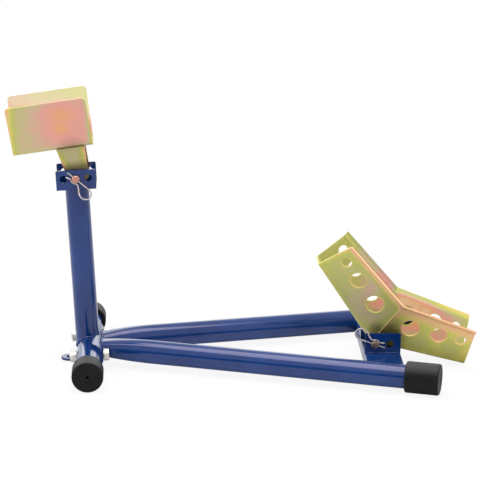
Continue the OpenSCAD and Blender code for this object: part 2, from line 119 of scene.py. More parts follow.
def cutHoles(obj, cutter):
    cut = obj.modifiers.new("holes", "BOOLEAN")
    cut.operation = "DIFFERENCE"
    cut.solver = "EXACT"
    cut.object = cutter
    graph = bpy.context.evaluated_depsgraph_get()
    mesh = bpy.data.meshes.new_from_object(obj.evaluated_get(graph))
    obj.modifiers.clear()
    obj.data = mesh
    bpy.data.objects.remove(cutter)
    bm = bmesh.new()
    bm.from_mesh(mesh)
    bmesh.ops.remove_doubles(bm, verts=bm.verts, dist=1e-6)
    joinFlat(bm, 0.3)
    settleMesh(bm, mesh)


def dress(obj, body, slotName, material, *replaced):
    obj.data.materials.clear()
    obj.data.materials.append(material)
    if replaced:
        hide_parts(*replaced)
    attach(obj, body)
    return obj


def ringFaces(rings, count, closed=False):
    # faces between neighbouring rings of count points each
    faces = []
    for k in range(rings if closed else rings - 1):
        n = (k + 1) % rings
        for i in range(count):
            j = (i + 1) % count
            faces.append((k * count + i, k * count + j, n * count + j, n * count + i))
    return faces


def prismFaces(base, count):
    # sides and both ends of a bar whose first ring starts at point number base
    faces = ringFaces(2, count)
    faces += [tuple(range(count)), tuple(count + i for i in reversed(range(count)))]
    return [tuple(base + corner for corner in face) for face in faces]


def tubeAlong(name, points, radii, sides, closed=False):
    # round bar through 3-D points, with its own radius at each point
    verts = []
    count = len(points)
    frameUp = None
    for i, p in enumerate(points):
        before = points[i - 1] if i or closed else p
        after = points[(i + 1) % count] if i < count - 1 or closed else p
        ahead = (after - before).normalized()
        if frameUp is None:
            frameUp = ahead.orthogonal().normalized()
        frameUp = (frameUp - ahead * frameUp.dot(ahead)).normalized()
        other = ahead.cross(frameUp)
        verts += [p + (frameUp * math.cos(a) + other * math.sin(a)) * radii[i] for a in fullTurn(sides)]
    faces = ringFaces(count, sides, closed)
    if not closed:
        faces.append(tuple(range(sides)))
        faces.append(tuple((count - 1) * sides + k for k in reversed(range(sides))))
    return linkMesh(name, verts, faces, 60)


# finishes

def startMaterial(name):
    material = bpy.data.materials.new(name)
    material.use_nodes = True
    tree = material.node_tree
    shader = tree.nodes["Principled BSDF"]
    coords = tree.nodes.new("ShaderNodeTexCoord")
    return material, tree, shader, coords.outputs["Object"]


def addNoise(tree, vector, scale, detail=3.0, rough=0.5, distort=0.0, stretch=None):
    if stretch:
        mapping = tree.nodes.new("ShaderNodeMapping")
        mapping.inputs["Scale"].default_value = stretch
        tree.links.new(vector, mapping.inputs["Vector"])
        vector = mapping.outputs["Vector"]
    noise = tree.nodes.new("ShaderNodeTexNoise")
    noise.inputs["Scale"].default_value = scale
    noise.inputs["Detail"].default_value = detail
    noise.inputs["Roughness"].default_value = rough
    noise.inputs["Distortion"].default_value = distort
    tree.links.new(vector, noise.inputs["Vector"])
    return noise.outputs["Fac"]


def addRamp(tree, value, stops, kind="EASE"):
    ramp = tree.nodes.new("ShaderNodeValToRGB")
    ramp.color_ramp.interpolation = kind
    marks = ramp.color_ramp.elements
    while len(marks) < len(stops):
        marks.new(0.5)
    for mark, (position, colour) in zip(marks, stops):
        mark.position = position
        mark.color = (*colour, 1.0)
    tree.links.new(value, ramp.inputs["Fac"])
    return ramp.outputs["Color"]


def addRange(tree, value, fromLow, fromHigh, toLow, toHigh, kind="LINEAR"):
    span = tree.nodes.new("ShaderNodeMapRange")
    span.interpolation_type = kind
    for key, number in (
        ("From Min", fromLow), ("From Max", fromHigh), ("To Min", toLow), ("To Max", toHigh),
    ):
        span.inputs[key].default_value = number
    tree.links.new(value, span.inputs["Value"])
    return span.outputs["Result"]


def addMath(tree, kind, first, second):
    node = tree.nodes.new("ShaderNodeMath")
    node.operation = kind
    tree.links.new(first, node.inputs[0])
    tree.links.new(second, node.inputs[1])
    return node.outputs["Value"]


def addVectorMath(tree, kind, vector, constant, result):
    node = tree.nodes.new("ShaderNodeVectorMath")
    node.operation = kind
    node.inputs[1].default_value = constant
    tree.links.new(vector, node.inputs[0])
    return node.outputs[result]


def addDistance(tree, vector, at):
    return addVectorMath(tree, "DISTANCE", vector, at, "Value")


def addInward(tree, vector, edge):
    # how far a point lies inward from a straight edge of a sheet
    offset = addVectorMath(tree, "SUBTRACT", vector, edge["at"], "Vector")
    return addVectorMath(tree, "DOT_PRODUCT", offset, edge["inward"], "Value")


def addMix(tree, share, first, colour):
    mix = tree.nodes.new("ShaderNodeMix")
    mix.data_type = "RGBA"
    tree.links.new(share, mix.inputs["Factor"])
    tree.links.new(first, mix.inputs["A"])
    mix.inputs["B"].default_value = (*colour, 1)
    return mix.outputs["Result"]


def addBump(tree, shader, height, strength, depth):
    bump = tree.nodes.new("ShaderNodeBump")
    bump.inputs["Strength"].default_value = strength
    bump.inputs["Distance"].default_value = depth
    tree.links.new(height, bump.inputs["Height"])
    tree.links.new(bump.outputs["Normal"], shader.inputs["Normal"])


blueLook = {
    "deep": (0.0030, 0.032, 0.150),
    "light": (0.0060, 0.044, 0.195),
    "cloudScale": 14.0,
    "smearScale": 55.0,
    "roughLow": 0.09,
    "roughHigh": 0.17,
    "gloss": 0.46,
    "glossTint": (1.0, 0.86, 1.0, 1.0),
    "coat": 0.06,
    "coatRough": 0.06,
    "peel": 0.03,  # orange peel of the powder coat
    "peelScale": 620.0,
}


def makeBlueCoat():
    look = blueLook
    material, tree, shader, coords = startMaterial("bluePowderCoat")
    cloud = addNoise(tree, coords, look["cloudScale"], 4.0)
    colour = addRamp(tree, cloud, [(0.35, look["deep"]), (0.65, look["light"])])
    tree.links.new(colour, shader.inputs["Base Color"])
    smear = addNoise(tree, coords, look["smearScale"], 3.0)
    rough = addRange(tree, smear, 0.3, 0.7, look["roughLow"], look["roughHigh"])
    tree.links.new(rough, shader.inputs["Roughness"])
    shader.inputs["Specular IOR Level"].default_value = look["gloss"]
    shader.inputs["Specular Tint"].default_value = look["glossTint"]
    shader.inputs["Coat Weight"].default_value = look["coat"]
    shader.inputs["Coat Roughness"].default_value = look["coatRough"]
    peel = addNoise(tree, coords, look["peelScale"], 2.0)
    addBump(tree, shader, peel, look["peel"], 0.0004)
    return material


zincLook = {
    "stops": [  # colours of the film, from thin to thick
        (0.00, (0.860, 0.500, 0.270)),
        (0.07, (0.700, 0.590, 0.150)),
        (0.17, (0.530, 0.520, 0.135)),
        (0.30, (0.560, 0.500, 0.210)),
        (0.40, (0.610, 0.470, 0.265)),
        (0.52, (0.745, 0.375, 0.295)),
        (0.62, (0.790, 0.365, 0.270)),
        (0.74, (0.810, 0.430, 0.215)),
        (0.88, (0.850, 0.690, 0.480)),
        (1.00, (0.770, 0.770, 0.385)),
    ],
    # dark tint for the painted shade near the pivot, the fold and low edges, and for the darker far-lip strip
    "grime": (0.060, 0.042, 0.012),
    "patchScale": 16.0,  # colour patches, about 60 mm across
    "mottleScale": 85.0,
    "mottle": 0.03,
    "holeRim": 2.4,  # mm of thin film round a hole
    "holeFilm": 0.2,
    "grainScale": 40.0,
    "grainStretch": (1.0, 14.0, 14.0),
    "metal": 0.40,
    "roughLow": 0.32,
    "roughHigh": 0.46,
}


def makeYellowZinc(name, blooms, rims, middle, spread, patchSeed, holes=(), darkening=(), tone=1.0):
    # passivated zinc: the film runs from orange at the sheet's edges over yellow and
    # olive to salmon in the middle, as it grows thicker
    look = zincLook
    material, tree, shader, coords = startMaterial(name)

    def fade(away, near, far, atNear, atFar):
        return addRange(tree, away, near * mm, far * mm, atNear, atFar, "SMOOTHSTEP")

    shift = tree.nodes.new("ShaderNodeMapping")
    shift.inputs["Location"].default_value = (patchSeed, 0.7 * patchSeed, 1.3 * patchSeed)
    tree.links.new(coords, shift.inputs["Vector"])
    moved = shift.outputs["Vector"]
    patches = addNoise(tree, moved, look["patchScale"], 2.0, 0.45, 0.5)
    film = addRange(tree, patches, 0.25, 0.75, middle - spread, middle + spread)
    for bloom in blooms:
        away = addDistance(tree, coords, bloom["at"])
        film = addMath(tree, "ADD", film, fade(away, bloom["from"], bloom["to"], bloom["lift"], 0.0))
    for rim in rims:
        away = addInward(tree, coords, rim)
        film = addMath(tree, "MULTIPLY", film, fade(away, rim["from"], rim["to"], rim["low"], 1.0))
    for hole in holes:  # seen along Y
        flat = addVectorMath(tree, "MULTIPLY", coords, (1, 0, 1), "Vector")
        away, r = addDistance(tree, flat, hole["at"]), hole["radius"]
        film = addMath(tree, "MULTIPLY", film, fade(away, r, r + look["holeRim"], look["holeFilm"], 1.0))
    mottle = addNoise(tree, moved, look["mottleScale"], 3.0, 0.6)
    film = addMath(tree, "ADD", film, addRange(tree, mottle, 0.3, 0.7, -look["mottle"], look["mottle"]))
    stops = [(at, tuple(tone * part for part in colour)) for at, colour in look["stops"]]
    colour = addRamp(tree, film, stops, "CARDINAL")
    for spot in darkening:  # darker patches: painted shade round the pivot, near the fold and low on the flanges, and a darker strip on the front leg's far lip
        away = addInward(tree, coords, spot) if "inward" in spot else addDistance(tree, coords, spot["at"])
        share = fade(away, spot["from"], spot["to"], spot["share"], 0.0)
        share = addMath(tree, "MULTIPLY", share, addRange(tree, mottle, 0.3, 0.7, 0.85, 1.0))
        colour = addMix(tree, share, colour, look["grime"])
    tree.links.new(colour, shader.inputs["Base Color"])
    grain = addNoise(tree, coords, look["grainScale"], 4.0, 0.6, 0.0, look["grainStretch"])
    rough = addRange(tree, grain, 0.3, 0.7, look["roughLow"], look["roughHigh"])
    tree.links.new(rough, shader.inputs["Roughness"])
    shader.inputs["Metallic"].default_value = look["metal"]
    addBump(tree, shader, grain, 0.03, 0.0004)
    return material


def makeBloom(at, near, far, lift):
    return {"at": at, "from": near, "to": far, "lift": lift}


def makePaintedShade(at, near, far, share):
    return {"at": at, "from": near, "to": far, "share": share}


bareLooks = {
    "pinZinc": {
        "dark": (0.46, 0.22, 0.17), "light": (0.66, 0.34, 0.25),
        "rough": 0.36, "grainScale": 160.0, "metal": 0.9,
    },
    "dullPinZinc": {
        "dark": (0.19, 0.15, 0.10), "light": (0.34, 0.26, 0.18),
        "rough": 0.42, "grainScale": 160.0, "metal": 0.9,
    },
    "clipWire": {
        "dark": (0.44, 0.38, 0.40), "light": (0.66, 0.59, 0.60),
        "rough": 0.26, "grainScale": 300.0, "metal": 0.9,
    },
    "brightZinc": {
        "dark": (0.56, 0.53, 0.49), "light": (0.80, 0.76, 0.71),
        "rough": 0.34, "grainScale": 160.0, "metal": 0.6,
    },
}


def makeBareMetal(name):
    look = bareLooks[name]
    material, tree, shader, coords = startMaterial(name)
    grain = addNoise(tree, coords, look["grainScale"], 4.0, 0.6)
    colour = addRamp(tree, grain, [(0.3, look["dark"]), (0.7, look["light"])])
    tree.links.new(colour, shader.inputs["Base Color"])
    shine = addRange(tree, grain, 0.3, 0.7, look["rough"] - 0.06, look["rough"] + 0.08)
    tree.links.new(shine, shader.inputs["Roughness"])
    shader.inputs["Metallic"].default_value = look["metal"]
    addBump(tree, shader, grain, 0.04, 0.0003)
    return material


rubberLook = {
    "dark": (0.0035, 0.0035, 0.0035),
    "light": (0.008, 0.008, 0.0082),
    "dust": (0.068, 0.070, 0.071),  # painted highlight on what faces up, lighter as if lit from above
    "cloudScale": 45.0,
    "poreScale": 900.0,
    "rough": 0.56,
    "gloss": 0.17,
}


def makeRubber():
    look = rubberLook
    material, tree, shader, coords = startMaterial("mouldedRubber")
    cloud = addNoise(tree, coords, look["cloudScale"], 4.0, 0.6)
    colour = addRamp(tree, cloud, [(0.3, look["dark"]), (0.7, look["light"])])
    face = tree.nodes.new("ShaderNodeNewGeometry")
    upward = tree.nodes.new("ShaderNodeSeparateXYZ")
    tree.links.new(face.outputs["Normal"], upward.inputs["Vector"])
    # painted highlight: upward faces turn a lighter grey, as if lit from above
    topLightShare = addRange(tree, upward.outputs["Z"], 0.5, 1.0, 0.0, 1.0)
    topLightShare = addMath(tree, "MULTIPLY", topLightShare, addRange(tree, cloud, 0.3, 0.7, 0.8, 1.0))
    tree.links.new(addMix(tree, topLightShare, colour, look["dust"]), shader.inputs["Base Color"])
    rough = addRange(tree, cloud, 0.3, 0.7, look["rough"] - 0.06, look["rough"] + 0.1)
    tree.links.new(rough, shader.inputs["Roughness"])
    shader.inputs["Specular IOR Level"].default_value = look["gloss"]
    pores = addNoise(tree, coords, look["poreScale"], 2.0)
    addBump(tree, shader, pores, 0.12, 0.0003)
    return material


blueCoat = makeBlueCoat()
pinZinc = makeBareMetal("pinZinc")
dullPin = makeBareMetal("dullPinZinc")
clipSteel = makeBareMetal("clipWire")
brightZinc = makeBareMetal("brightZinc")
rubberBlack = makeRubber()
print("finishes made")


# bent sheet: a middle line with rounded corners, thickened and swept

def filletLine(corners, radii, arcCount=5):
    # points on the line, each with the direction across the sheet
    line = []
    for i, corner in enumerate(corners):
        if i == 0 or i == len(corners) - 1:
            along = (corners[1] - corners[0] if i == 0 else corner - corners[i - 1]).normalized()
            line.append((corner, Vector((-along.y, along.x))))
            continue
        first = (corner - corners[i - 1]).normalized()
        second = (corners[i + 1] - corner).normalized()
        turn = math.atan2(first.x * second.y - first.y * second.x, first.dot(second))
        side = 1 if turn > 0 else -1
        start = corner - first * radii[i] * math.tan(abs(turn) / 2)
        normal = Vector((-first.y, first.x))
        centre = start + normal * radii[i] * side
        for k in range(arcCount + 1):
            a = turn * k / arcCount
            c, s = math.cos(a), math.sin(a)
            spun = Vector((normal.x * c - normal.y * s, normal.x * s + normal.y * c))
            line.append((centre - spun * radii[i] * side, spun))
    return line


def channelLine(webHalf, tall, splay, sheet, bendR, lip=None):
    # right half's corners of the middle line, then mirrored
    s = math.radians(splay)
    half = sheet / 2
    bend = Vector((webHalf + half * math.tan(s) - half / math.cos(s), half))
    upDir, upNormal = Vector((math.sin(s), math.cos(s))), Vector((-math.cos(s), math.sin(s)))
    fold = Vector((webHalf + tall * math.tan(s), tall))
    if lip:
        e = s + math.radians(lip["turn"])
        outDir, outNormal = Vector((math.sin(e), math.cos(e))), Vector((-math.cos(e), math.sin(e)))
        meet = fold + (upNormal + outNormal) * (half / (1 + upNormal.dot(outNormal)))
        right = [bend, meet, fold + outDir * lip["width"] + outNormal * half]
        radii = [bendR, lip["bendR"], 0]
    else:
        right = [bend, fold + upNormal * half - upDir * (sheet * math.tan(s))]
        radii = [bendR, 0]
    left = [Vector((-p.x, p.y)) for p in reversed(right)]
    return filletLine(left + right, list(reversed(radii)) + radii)


def sheetMesh(name, columns, placer):
    # columns: one list of (outer, inner) points per station along the sheet
    verts, faces = [], []
    rows = len(columns[0])
    last = len(columns) - 1

    def at(i, j, k):
        return 2 * (i * rows + j) + k

    for column in columns:
        for outer, inner in column:
            verts += [placer(outer), placer(inner)]
    for i in range(last):
        for j in range(rows - 1):
            faces.append((at(i, j, 0), at(i + 1, j, 0), at(i + 1, j + 1, 0), at(i, j + 1, 0)))
            faces.append((at(i, j, 1), at(i, j + 1, 1), at(i + 1, j + 1, 1), at(i + 1, j, 1)))
        for j in (0, rows - 1):
            faces.append((at(i, j, 0), at(i + 1, j, 0), at(i + 1, j, 1), at(i, j, 1)))
    for i in (0, last):
        for j in range(rows - 1):
            faces.append((at(i, j, 0), at(i, j + 1, 0), at(i, j + 1, 1), at(i, j, 1)))
    return linkMesh(name, verts, faces)


def sheetRim(start, end, tilt, near, far, low):
    # a straight edge of a sheet and the way inward from it; the tilt lets the
    # film differ between the near and the far flange
    inward = (end - start).normalized() + Vector((0, tilt, 0))
    return {"at": start, "inward": inward, "from": near, "to": far, "low": low}


nearFlangeY = -45  # where the rims of the near flanges start


# wheel stop

wheelStop = {
    "pin": (-21.58, 309.306),  # X and Z of its pin
    "lean": 9.0,
    "length": 127.0,
    "behind": 35.2,
    "rise": 49.2,
    "webHalf": 20.0,
    "tall": 83.0,
    "splay": 18.0,
    "sheet": 3.0,
    "bendR": 3.2,
    "cornerR": 6.0,
    "edgeR": 0.18,
    "tangEdgeR": 0.25,
}
stopBack = wheelStop["behind"]
stopFront = stopBack - wheelStop["length"]
stopRise = wheelStop["rise"]
stopTop = stopRise + wheelStop["tall"]


def stopPoint(u, y, n):
    a = math.radians(wheelStop["lean"])
    x, z = wheelStop["pin"]
    return place(x + u * math.cos(a) - n * math.sin(a), y, z + u * math.sin(a) + n * math.cos(a))


def stopRim(u, n, du, dn, near, far, low, tilt=0.25):
    start, end = stopPoint(u, nearFlangeY, n), stopPoint(u + du, nearFlangeY, n + dn)
    return sheetRim(start, end, tilt, near, far, low)


def stopSpot(u, side, up):
    # point on a flange of the trough, along it and up it from its bend
    s = math.radians(wheelStop["splay"])
    return stopPoint(u, side * (wheelStop["webHalf"] + up * math.sin(s)), stopRise + up * math.cos(s))


stopZinc = makeYellowZinc("troughZinc", [
    makeBloom(stopSpot(2, -1, 46), 10, 76, 0.25),
    makeBloom(stopSpot(-24, -1, 66), 2, 22, 0.10),
    makeBloom(stopSpot(-2, -1, 66), 2, 24, 0.10),
    makeBloom(stopSpot(-12, -1, 38), 2, 22, 0.10),
    makeBloom(stopSpot(-76, 1.5, 80), 22, 84, 0.52),
    makeBloom(stopSpot(34, 1.6, 80), 27, 112, 0.74),
], [
    stopRim(stopFront, 0, 1, 0, -1, 22, 0.0),
    stopRim(stopBack, stopRise, -1, 0.08, 2, 13, 0.35, 0.1),
    stopRim(stopFront, stopTop, 0.22, -1, -6, 16, 0.45),
    stopRim(0, stopRise, 0, 1, -2, 16, 0.55),
], middle=0.36, spread=0.05, patchSeed=3.1, darkening=[
    # painted shade on the trough's bottom, over the tang
    makePaintedShade(stopSpot(2, side, -4), 8, 32, 0.28) for side in (-1, 1)
])
# painted shade on the tang, darkest just above the post head
tangPaintedShade = dict(stopRim(0, 14.0, 0, 1, 0, 18, 0, 0), share=0.92)
tangZinc = makeYellowZinc("tangZinc", [], [
    stopRim(-17.7, 24.6, 0.913, 0.409, -0.5, 17, 0.0, 0),
    stopRim(21.5, 0, -1, 0, -0.5, 17, 0.0, 0),
], middle=0.38, spread=0.06, patchSeed=5.3, darkening=[tangPaintedShade], tone=0.82)


def buildTrough(node):
    w, r = wheelStop, wheelStop["cornerR"]
    half = w["sheet"] / 2
    steps = [r * (1 - math.cos(math.radians(a))) for a in range(0, 91, 18)]  # along a rounded corner
    stations = [stopFront + d for d in steps]
    stations += [stopFront + w["length"] * k / 6 for k in range(1, 6)]
    stations += [stopBack - d for d in reversed(steps)]
    columns = []
    for u in stations:
        d = min(u - stopFront, stopBack - u, r)
        drop = r - math.sqrt(max(0.0, r ** 2 - (r - d) ** 2))
        line = channelLine(w["webHalf"], w["tall"] - drop, w["splay"], w["sheet"], w["bendR"])
        columns.append([((u, *(p - n * half)), (u, *(p + n * half))) for p, n in line])
    obj = sheetMesh(pieceName(node), columns, lambda p: stopPoint(p[0], p[1], p[2] + stopRise))
    roundEdges(obj, w["edgeR"])
    return dress(obj, "wheel_stop", "yellow_zinc", stopZinc, node)


buildTrough("wheel_stop_trough")
tangPiece = tidyCopy("wheel_stop_tang", wheelStop["tangEdgeR"])
dress(tangPiece, "wheel_stop", "yellow_zinc", tangZinc, "wheel_stop_tang")
print("wheel stop built")


# cradle

cradle = {
    "fold": (454.9, 40.0),  # X and Z
    "pin": (460.0, 42.0),
    "length": 157.5,
    "angle": 137.7,
    "slope": 13.4,
    "webHalf": 22.5,
    "splay": 18.0,
    "tall": 75.0,
    "tallEnd": 55.5,
    "sheet": 3.0,
    "bendR": 3.4,
    "edgeR": 0.45,
    "lip": {"width": 10.0, "turn": 32.0, "bendR": 5.0},
    "holes": [(54.0, 30.0), (102.0, 26.5), (138.5, 17.0)],  # from the fold, and diameter
    "holeUp": 43.0,
    "sleeveRoom": {"radius": 10.05, "half": 37.0},
    "sleeveEdgeR": 0.5,
    "stations": 12,
}
legDrop = (cradle["tall"] - cradle["tallEnd"]) / cradle["length"]
legSplay = math.radians(cradle["splay"])
mitreAngle = math.radians(cradle["angle"] / 2)


def cradlePoint(front, p):
    # along a leg from the fold, across it and up from its web
    c = cradle
    slope = math.radians(180 - c["angle"] + c["slope"] if front else -c["slope"])
    x, y, z = p
    run, up = x * math.cos(slope) - z * math.sin(slope), x * math.sin(slope) + z * math.cos(slope)
    return place(c["fold"][0] + (-run if front else run), y, c["fold"][1] + up)


def legRim(front, x, z, dx, dz, near, far, low, tilt=0.22, y=nearFlangeY):
    start, end = cradlePoint(front, (x, y, z)), cradlePoint(front, (x + dx, y, z + dz))
    return sheetRim(start, end, tilt, near, far, low)


def legSpot(front, x, side, up):
    # point on a flange of a leg, along it from the fold and up it from its bend
    y = side * (cradle["webHalf"] + up * math.sin(legSplay))
    return cradlePoint(front, (x, y, up * math.cos(legSplay)))


def farLipRim(front, far, low):
    return legRim(front, 0, cradle["tall"] + 4, -legDrop, -1, -2, far, low, -0.3, 49)


def legRims(front, lipReach, farReach, farLow):
    return [
        legRim(front, cradle["length"], 0, -1, 0, -4, 16, 0.1),
        legRim(front, 0, cradle["tall"], -legDrop, -1, -3, lipReach, 0.0, 0.4),
        legRim(front, 0, 0, math.sin(mitreAngle), -math.cos(mitreAngle), 0, 10, 0.5, 0),
        legRim(front, 0, 0, 0, 1, -1, 14, 0.35),
        farLipRim(front, farReach, farLow),
    ]


def legHoles(front):
    up = cradle["holeUp"] * math.cos(legSplay)
    return [{"at": cradlePoint(front, (x, 0, up)), "radius": d / 2} for x, d in cradle["holes"]]


# darker along the top of the front leg's far flange, fading downward
frontFarLipDarkening = dict(farLipRim(True, 14, 0), share=0.42)
frontZinc = makeYellowZinc("cradleFrontZinc", [
    makeBloom(legSpot(True, 60, -1, 24), 10, 46, 0.19),
    makeBloom(legSpot(True, 84, -1, 54), 4, 26, 0.14),
    makeBloom(legSpot(True, 40, 1, 56), 18, 50, 0.34),
    makeBloom(legSpot(True, 90, 1, 80), 20, 56, 0.20),
], legRims(True, 7, 16, 0.9), middle=0.21, spread=0.08, patchSeed=1.7, holes=legHoles(True), darkening=[
    # darker strip on the far lip, and painted shade near the fold on both flanges
    frontFarLipDarkening, *(makePaintedShade(legSpot(True, 14, side, 24), 3, 20, 0.55) for side in (-1, 1)),
])
rearPaintedShade = dict(legRim(False, 0, 0, 0, 1, -6, 46, 0, 0.35), share=0.50)  # painted shade low on the near flange, darkest at its bottom edge
rearZinc = makeYellowZinc("cradleRearZinc", [
    makeBloom(legSpot(False, 54, 1, 62), 22, 68, 0.66),
    makeBloom(legSpot(False, 116, 1, 34), 16, 50, 0.38),
    makeBloom(legSpot(False, 128, -1, 22), 4, 24, 0.08),
    makeBloom(legSpot(False, 76, -1, 22), 4, 24, 0.08),
], legRims(False, 30, 9, 0.3), middle=0.13, spread=0.06, patchSeed=2.9, holes=legHoles(False), darkening=[
    # painted shade low on the near flange and near the fold on both flanges
    rearPaintedShade, *(makePaintedShade(legSpot(False, 22, side, 28), 5, 38, 0.75) for side in (-1, 1)),
])
weldZinc = makeYellowZinc("weldZinc", [], [], middle=0.03, spread=0.05, patchSeed=0.4)


def legLine(x):
    c = cradle
    return channelLine(c["webHalf"], c["tall"] - legDrop * x, c["splay"], c["sheet"], c["bendR"], c["lip"])


def legPoint(x, j, sign):
    # on the outer face of the sheet with sign -1, on the inner face with 1
    p, n = legLine(x)[j]
    q = p + n * (cradle["sheet"] / 2 * sign)
    return x, q.x, q.y


def legColumns():
    length, stations = cradle["length"], cradle["stations"]
    columns = [[] for _ in range(stations + 1)]
    for j in range(len(legLine(0))):
        starts = []
        for sign in (-1, 1):
            x = 0.0
            for _ in range(6):  # closes in on the mitre's plane
                x = max(0.0, legPoint(x, j, sign)[2] / math.tan(mitreAngle))
            starts.append((x, sign))
        for k, column in enumerate(columns):
            column.append(tuple(legPoint(x + (length - x) * k / stations, j, sign) for x, sign in starts))
    return columns


def legCutter(name, front):
    # a bar for each hole, and one for the room round the sleeve
    c, room = cradle, cradle["sleeveRoom"]
    angles = fullTurn(56)
    verts, faces = [], []
    for x, d in c["holes"]:
        for side in (-1, 1):
            faces += prismFaces(len(verts), len(angles))
            for depth in (-12.0, 12.0):
                for a in angles:
                    m = c["holeUp"] + d / 2 * math.sin(a)
                    y = c["webHalf"] + m * math.sin(legSplay) + depth * math.cos(legSplay)
                    z = m * math.cos(legSplay) - depth * math.sin(legSplay)
                    verts.append(cradlePoint(front, (x + d / 2 * math.cos(a), side * y, z)))
    faces += prismFaces(len(verts), len(angles))
    x, z = c["pin"]
    for y in (-room["half"], room["half"]):
        verts += [place(x + room["radius"] * math.cos(a), y, z + room["radius"] * math.sin(a)) for a in angles]
    return linkMesh(name, verts, faces)


def buildLeg(node, front, material):
    name = pieceName(node)
    obj = sheetMesh(name, legColumns(), lambda p: cradlePoint(front, p))
    cutHoles(obj, legCutter(name + "Cutter", front))
    roundEdges(obj, cradle["edgeR"], 44)
    return dress(obj, "cradle", "yellow_zinc", material, node)


buildLeg("cradle_front_leg", True, frontZinc)
buildLeg("cradle_rear_leg", False, rearZinc)
sleevePiece = tidyCopy("cradle_sleeve", cradle["sleeveEdgeR"])
dress(sleevePiece, "cradle", "yellow_zinc", rearZinc, "cradle_sleeve")
print("cradle built")


# frame tubes and brackets

sideTube = {
    "front": (30.0, 22.5, 28.0),
    "rear": (552.0, 168.5, 25.0),
    "radius": 19.0,
    "pinchEnd": 78.0,
    "pinchHalf": 8.5,
    "pinchFrom": -30.0,
    "pinchSoft": 0.02,
    "capEnd": 5.1,
    "saddleR": 24.15,
}
bracketEdges = {  # rounding of each bracket's edges, in mm
    "post_head": 0.7,
    "floor_lug": 0.6,
    "joint_saddle": 0.5,
    "rear_member": 0.6,
    "cradle_cheek_left": 0.5,
    "cradle_cheek_right": 0.5,
}
sideAlong = Vector(sideTube["rear"]) - Vector(sideTube["front"])


def sidePoint(s, a, side):
    # s along a side tube, a round it
    t = sideTube
    along = sideAlong.normalized()
    across = Vector((-along.y, along.x, 0)).normalized()
    up = along.cross(across)
    share = min(1.0, max(0.0, (s - t["pinchFrom"]) / (t["pinchEnd"] - t["pinchFrom"])))
    tall = t["pinchHalf"] + (t["radius"] - t["pinchHalf"]) * (1 - (1 - share) ** 2)
    c = math.cos(a)
    wide = (t["radius"] - tall) * c / math.sqrt(c * c + t["pinchSoft"]) + tall * c
    p = Vector(t["front"]) + along * s + across * wide + up * tall * math.sin(a)
    return Vector((p.x, side * p.y, p.z))


def sideStart(a, side):
    # where a line along the tube meets the saddle
    low, high = -20.0, 20.0
    for _ in range(40):
        s = (low + high) / 2
        p = sidePoint(s, a, side)
        if math.hypot(p.x, p.z - axisZ) < sideTube["saddleR"]:
            low = s
        else:
            high = s
    return high


def buildSideTube(node, side):
    pinchEnd = sideTube["pinchEnd"]
    total = sideAlong.length - sideTube["capEnd"]
    angles = fullTurn(64)
    count = len(angles)
    starts = [sideStart(a, side) for a in angles]
    rings = [
        [sidePoint(s + (pinchEnd - s) * k / 18, a, side) for a, s in zip(angles, starts)]
        for k in range(19)
    ]
    rings += [
        [sidePoint(pinchEnd + (total - pinchEnd) * k / 4, a, side) for a in angles]
        for k in range(1, 5)
    ]
    verts = [place(*p) for ring in rings for p in ring]
    faces = ringFaces(len(rings), count)
    for k in (0, len(rings) - 1):  # end faces
        middle = len(verts)
        verts.append(sum((verts[k * count + i] for i in range(count)), Vector()) / count)
        faces += [(k * count + i, k * count + (i + 1) % count, middle) for i in range(count)]
    return dress(linkMesh(pieceName(node), verts, faces), "frame", "blue_coat", blueCoat, node)


buildSideTube("side_tube_left", 1)
buildSideTube("side_tube_right", -1)
for node in ("cross_tube", "post_tube"):
    nodes[node].data.materials.clear()
    nodes[node].data.materials.append(blueCoat)
for node, width in bracketEdges.items():
    dress(tidyCopy(node, width), "frame", "blue_coat", blueCoat, node)
print("frame tubes and brackets built")


# rubber caps

rubberCap = {
    "radius": 25.0,
    "bore": 19.1,
    "boreDraft": 0.05,
    "end": 5.0,
    "edgeR": 3.0,
    "rimR": 2.6,
    "slopeR": 19.5,  # the end face slopes from here to its dish
    "slope": 0.12,
    "dishR": 12.0,
    "dish": 0.5,
    "vent": 2.5,
    "ventBevel": 0.3,
    "frontFace": 166.6,
    "frontLength": 39.0,
    "rearLength": 54.5,
}


def capOutline(length):
    # radius and distance behind the end face, from the open rim round to the bore
    c = rubberCap
    rimIn, edgeIn = c["radius"] - c["rimR"], c["radius"] - c["edgeR"]
    outline = [(c["bore"], length), (rimIn, length)]
    outline += [
        (rimIn + c["rimR"] * math.sin(a), length - c["rimR"] + c["rimR"] * math.cos(a))
        for a in (math.radians(18 * k) for k in range(1, 6))
    ]
    outline.append((c["radius"], length / 2))
    outline += [
        (edgeIn + c["edgeR"] * math.cos(a), c["edgeR"] - c["edgeR"] * math.sin(a))
        for a in (math.radians(15 * k) for k in range(7))
    ]
    return outline + [
        (c["slopeR"], c["slope"]),
        (c["dishR"], c["dish"]),
        (c["vent"] + c["ventBevel"], c["dish"]),
        (c["vent"], c["dish"] + c["ventBevel"]),
        (c["vent"], c["end"]),
        (c["bore"] - c["boreDraft"], c["end"]),
    ]


def buildCap(node, face, along, length):
    axis = Vector(along).normalized()
    side = axis.cross(Vector((0, 0, 1))).normalized()
    up = side.cross(axis)
    angles = fullTurn(80)
    outline = capOutline(length)
    verts = []
    for r, back in outline:
        centre = Vector(face) - axis * back
        verts += [place(*(centre + side * r * math.cos(a) + up * r * math.sin(a))) for a in angles]
    obj = linkMesh(pieceName(node), verts, ringFaces(len(outline), len(angles), True), 50)
    return dress(obj, "frame", "rubber_cap", rubberBlack, node)


for side, word in ((1, "left"), (-1, "right")):
    front = (0, side * rubberCap["frontFace"], axisZ)
    buildCap("front_cap_" + word, front, (0, side, 0), rubberCap["frontLength"])
    x, y, z = sideTube["rear"]
    along = (sideAlong.x, side * sideAlong.y, sideAlong.z)
    buildCap("rear_cap_" + word, (x, side * y, z), along, rubberCap["rearLength"])
print("rubber caps built")


# bolts, nuts, washers, pins and clips

